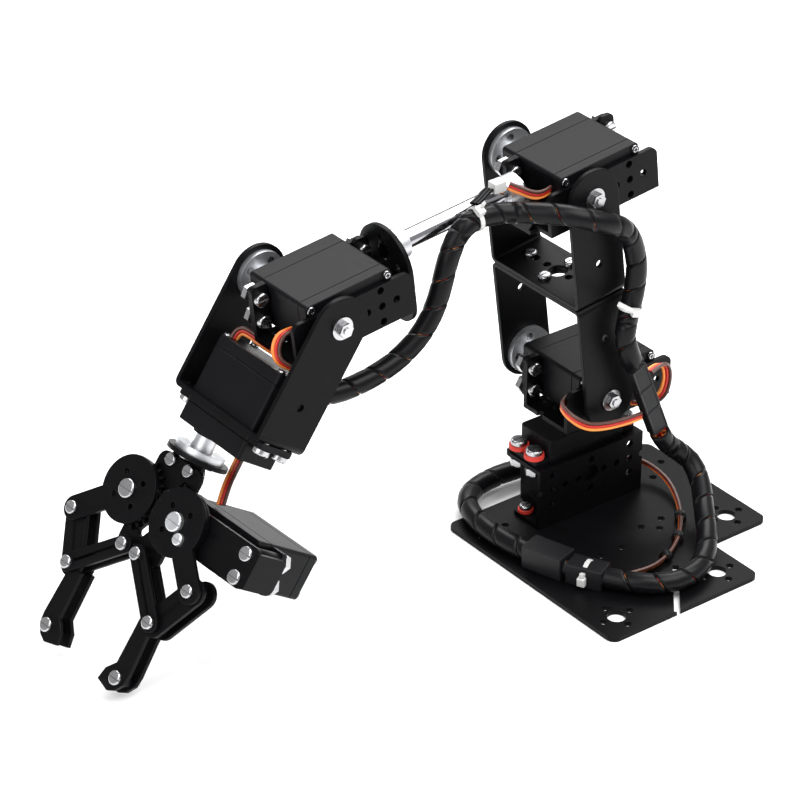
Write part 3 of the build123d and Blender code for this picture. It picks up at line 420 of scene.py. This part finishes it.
def box_between(points, faces, centre, axes, spans):
    """Adds a box with its own axes and sizes in millimetres to a piece's points and faces."""
    start = len(points)
    for sx in (-0.5, 0.5):
        for sy in (-0.5, 0.5):
            for sz in (-0.5, 0.5):
                offset = axes[0] * sx * spans[0] + axes[1] * sy * spans[1] + axes[2] * sz * spans[2]
                points.append(centre + offset * MM)
    for face in ((0, 1, 3, 2), (4, 6, 7, 5), (0, 4, 5, 1), (2, 3, 7, 6), (0, 2, 6, 4), (1, 5, 7, 3)):
        faces.append(tuple(start + v for v in face))


def band_round(path, along, radius, width, thick):
    """Points and faces of a flat band round the line."""
    place, forward, side = path.frame(along)
    up = forward.cross(side)
    sides = 40
    points, faces = [], []
    for k in range(sides):
        a = 2 * math.pi * k / sides
        out = side * math.cos(a) + up * math.sin(a)
        for shift, r in ((-0.5, radius), (0.5, radius), (0.5, radius + thick), (-0.5, radius + thick)):
            points.append(place + (forward * shift * width + out * r) * MM)
    for k in range(sides):
        n = (k + 1) % sides
        faces += [(k * 4 + c, k * 4 + (c + 1) % 4, n * 4 + (c + 1) % 4, n * 4 + c) for c in range(4)]
    return points, faces


def sleeve(name, path, along, radius):
    """A short dark sleeve that holds the wires of one lead together."""
    points, faces = band_round(path, along, radius, 3.2, 0.35)
    return make_piece(name, points, faces, [WRAP])


def cable_tie(name, path, near, head_towards, tail_towards, tail, radius=BUNDLE_R, head_size=(3.4, 3.8, 2.6)):
    """A band round the bundle, its square head, and the cut tail that stands out of the head."""
    along = path.nearest(near)
    points, faces = band_round(path, along, radius, TIE_WIDTH, TIE_THICK)
    place, forward = path.frame(along)[:2]
    out = across(head_towards, forward)
    head = place + out * (radius + 1.5) * MM
    box_between(points, faces, head, (forward, forward.cross(out), out), head_size)
    away = Vector(tail_towards).normalized()
    flat = across(forward, away)
    tail_centre = head + away * (2.0 + tail / 2) * MM
    box_between(points, faces, tail_centre, (flat, away, flat.cross(away)), (TIE_WIDTH, tail, 0.8))
    piece = make_piece(name, points, faces, [NYLON], smooth=False)
    bevel = piece.modifiers.new("edge_break", "BEVEL")
    bevel.width = 0.25 * MM
    bevel.segments = 2
    bevel.limit_method = "ANGLE"
    return piece


def settle(piece, body, *nodes):
    """The piece rides on a body in place of those nodes."""
    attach(piece, body)
    if nodes:
        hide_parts(*nodes)


def span(piece, path, start, end, node):
    """The piece, running between two bodies from one end of its stretch to the other, has its placement baked
    in and the node it replaces hidden.
    """
    tuple(path.frame(start)[0])
    tuple(path.frame(end)[0])
    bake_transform(piece)
    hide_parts(node)


def middle(route, i):
    """Half way along the route's run that starts at its point i."""
    return [(a + b) / 2 for a, b in zip(route[i], route[i + 1])]


def wire_bundle(label, route, cuts, stretches):
    """A wrapped bundle in stretches: each rides on one body, or has its placement baked in where it runs
    between two.
    """
    path = Path(centre_line(route))
    ends = [0.0] + [path.nearest(middle(route, i)) for i in cuts] + [path.length]
    for (bodies, node), start, end in zip(stretches, ends, ends[1:]):
        for kind, maker in (("wrap", wrap_band), ("core", core_strands)):
            piece = maker(f"{label}_{kind}_{node}", path, start, end)
            if len(bodies) == 1:
                settle(piece, bodies[0], node)
            else:
                span(piece, path, start, end, node)
    return path


def housing_on(name, path, near, size, height):
    """A connector housing that encloses the bundle, square to its path; size runs along, across, up."""
    place, forward = path.frame(path.nearest(near))[:2]
    turn = forward.to_track_quat("X", "Z").to_matrix()
    return rounded_box(name, (place.x / MM, place.y / MM, height), size, turn, HOUSING)


def make_bundles():
    base = wire_bundle("base", BASE_ROUTE, [16], [
        (("base",), "base_wiring"), (("base", "turret"), "yaw_loop")])
    arm = wire_bundle("arm", ARM_ROUTE, [2, 6, 11, 14], [
        (("turret", "upper_arm"), "shoulder_loop"), (("upper_arm",), "upper_arm_wiring"),
        (("upper_arm", "forearm"), "elbow_loop"), (("forearm",), "forearm_wiring"),
        (("forearm", "wrist"), "wrist_loop")])
    plug = (47.5, 55.5, 6.6)
    upright = (0, 0, 1)
    base_tie = cable_tie("base_tie", base, plug, (0.9, 0.45, -0.1), upright, 2.0, 5.0, (3.4, 3.8, 2.4))
    settle(base_tie, "base")
    arm_tie = cable_tie("arm_tie", arm, (6.7, 30.2, 106), (0.3, 1, 0.1), (0.8, 0.1, 0.6), 12.0)
    settle(arm_tie, "upper_arm")
    forearm_tie = cable_tie("forearm_tie", arm, (71.5, 9.3, 158), (0.2, 0.6, 1), (-0.3, 0.3, 0.9), 2.0)
    settle(forearm_tie, "forearm")
    settle(housing_on("base_housing", base, (54.5, 38, 6.6), (19.0, 11.0, 10.6), 7.5), "base")
    settle(housing_on("base_plug", base, plug, (16.0, 9.8, 9.0), 6.7), "base")


def make_leads():
    yaw = Path(centre_line(YAW_LEAD))
    settle(lead_ribbon("yaw_lead", yaw, (0.5, 0.8, 1)), "base", "base_wiring")
    for step in (0.5, 0.64, 0.78):
        settle(sleeve(f"yaw_lead_sleeve_{int(step * 100)}", yaw, yaw.length * step, 2.15), "base")
    for label, route, hint, colours, body in (
            ("shoulder_lead", SHOULDER_LEAD, (0, 0.1, 1), WIRES, "turret"),
            ("wall_lead", WALL_LEAD, (-1, 1, 0.3), WIRES, "turret"),
            ("elbow_lead", ELBOW_LEAD, (0, 0.2, 1), WIRES, "forearm"),
            ("elbow_tail", ELBOW_TAIL, (0, 1, 0), (WRAP,) * 3, "forearm")):
        settle(lead_ribbon(label, Path(centre_line(route)), hint, colours), body, body + "_wiring")
    for label, route, hint, bodies, node in (
            ("wrist_lead", WRIST_LEAD, (-0.6, 1, 0.2), ("forearm", "wrist"), "wrist_loop"),
            ("roll_lead", ROLL_LEAD, (0, 0, 1), ("forearm", "wrist"), "wrist_loop"),
            ("claw_lead_wires", CLAW_LEAD, (-0.4, 1, 0), ("wrist", "claw_base"), "claw_lead")):
        path = Path(centre_line(route))
        span(lead_ribbon(label, path, hint), path, 0.0, path.length, node)


def make_connectors():
    leaning = Matrix.Rotation(math.radians(22), 3, "Y")
    for step in range(3):
        centre = (-7 + 4.6 * step, 32, 49.5 + 11.5 * step)
        name = f"turret_connector_{step + 1}"
        block = rounded_box(name, centre, (8.0, 5.0, 12.6), leaning, HOUSING, socketed=True)
        settle(block, "turret", "turret_wiring")
    flat = Matrix.Rotation(math.radians(90), 3, "Y")
    block = rounded_box("base_connector", (1, -21.5, 6.6), (8.0, 9.0, 9.0), flat, HOUSING, socketed=True)
    settle(block, "base", "base_wiring")
    level = Matrix.Identity(3)
    block = rounded_box("elbow_connector", (55.9, 3.6, 165.4), (6.0, 4.8, 4.6), level, NYLON)
    settle(block, "forearm", "forearm_wiring")


# ---- servo case screws ------------------------------------------------------------------
SERVO_BODIES = {"yaw": "base", "shoulder": "turret", "elbow": "forearm", "wrist": "forearm",
                "roll": "wrist", "claw": "claw_base"}
SHANK_R, WIDEST_HEAD_R = 1.4, 2.6
RECESS_DEPTH = 0.5


def loose_parts(mesh):
    """The separate solids of a mesh, each as an array of its points in metres."""
    places = {}
    for vertex in mesh.vertices:
        key = tuple(round(c * 1e6) for c in vertex.co)
        places.setdefault(key, []).append(vertex.index)
    group = list(range(len(mesh.vertices)))

    def root(i):
        while group[i] != i:
            group[i] = group[group[i]]
            i = group[i]
        return i

    for same in places.values():
        for i in same[1:]:
            group[root(i)] = root(same[0])
    for edge in mesh.edges:
        group[root(edge.vertices[0])] = root(edge.vertices[1])
    parts = {}
    for vertex in mesh.vertices:
        parts.setdefault(root(vertex.index), []).append(vertex.co[:])
    return [np.array(points) for points in parts.values()]


def off_axis(points, centre, axis):
    """How far points are from a line through the centre."""
    along = (points - centre) @ axis
    return np.linalg.norm(points - centre - np.outer(along, axis), axis=1)


def head_of(points):
    """Middle of a screw's head face, the way it looks out, and its radius; None for any other solid."""
    centre = points.mean(axis=0)
    axis = np.linalg.svd(points - centre)[2][0]
    along = (points - centre) @ axis
    radius = off_axis(points, centre, axis)
    head = radius > SHANK_R * MM
    if radius.max() > WIDEST_HEAD_R * MM or not head.any() or head.all():
        return None
    if along[head].mean() < along[~head].mean():
        axis, along = -axis, -along
    middle = points[head].mean(axis=0)
    middle = middle + axis * (along[head].max() - (middle - centre) @ axis)
    return Vector(middle), Vector(axis), off_axis(points[head], middle, axis).max()


def case_screw_heads(servo, body):
    """Domed heads with a cross recess over a servo's case screws."""
    node = frame["nodes"][servo + "_servo_case"]
    sides = 32
    rings = ((-0.9, 1.0), (-0.3, 1.0), (-0.08, 0.88), (0.04, 0.6), (0.04, 0.0), (-RECESS_DEPTH, 0.0))
    points, faces = [], []
    for part in loose_parts(node.data):
        found = head_of(part)
        if not found:
            continue
        middle, out, wide = found
        middle = node.matrix_world @ middle
        out = (node.matrix_world.to_3x3() @ out).normalized()
        turn = out.to_track_quat("Z", "Y").to_matrix()
        start = len(points)
        for height, share in rings:  # a share of nothing is the cross recess's own outline
            for k in range(sides):
                a = 2 * math.pi * k / sides
                recess = (0.95 if k % 8 in (7, 0, 1) else 0.42) * MM
                r = (wide + 0.02 * MM) * share if share else recess
                points.append(middle + turn @ Vector((r * math.cos(a), r * math.sin(a), height * MM)))
        faces += [tuple(start + v for v in face) for face in grid_faces(len(rings), sides, True)]
        points.append(middle - out * RECESS_DEPTH * MM)
        last = start + (len(rings) - 1) * sides
        faces += [(last + k, last + (k + 1) % sides, len(points) - 1) for k in range(sides)]
    piece = make_piece(servo + "_case_screw_heads", points, faces, [FASTENER])
    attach(piece, body)


add_camera()
add_world()
add_area_light("key", 120, 62, 1.6, (1.6, 1.1), 34)
add_area_light("fill", 15, 35, 1.7, (1.2, 1.4), 16)
add_area_light("rim", 230, 50, 1.5, (1.2, 0.8), 22)
add_floor(FLOOR)
finish_cad_nodes()
make_bundles()
make_leads()
make_connectors()
for servo, body in SERVO_BODIES.items():
    case_screw_heads(servo, body)
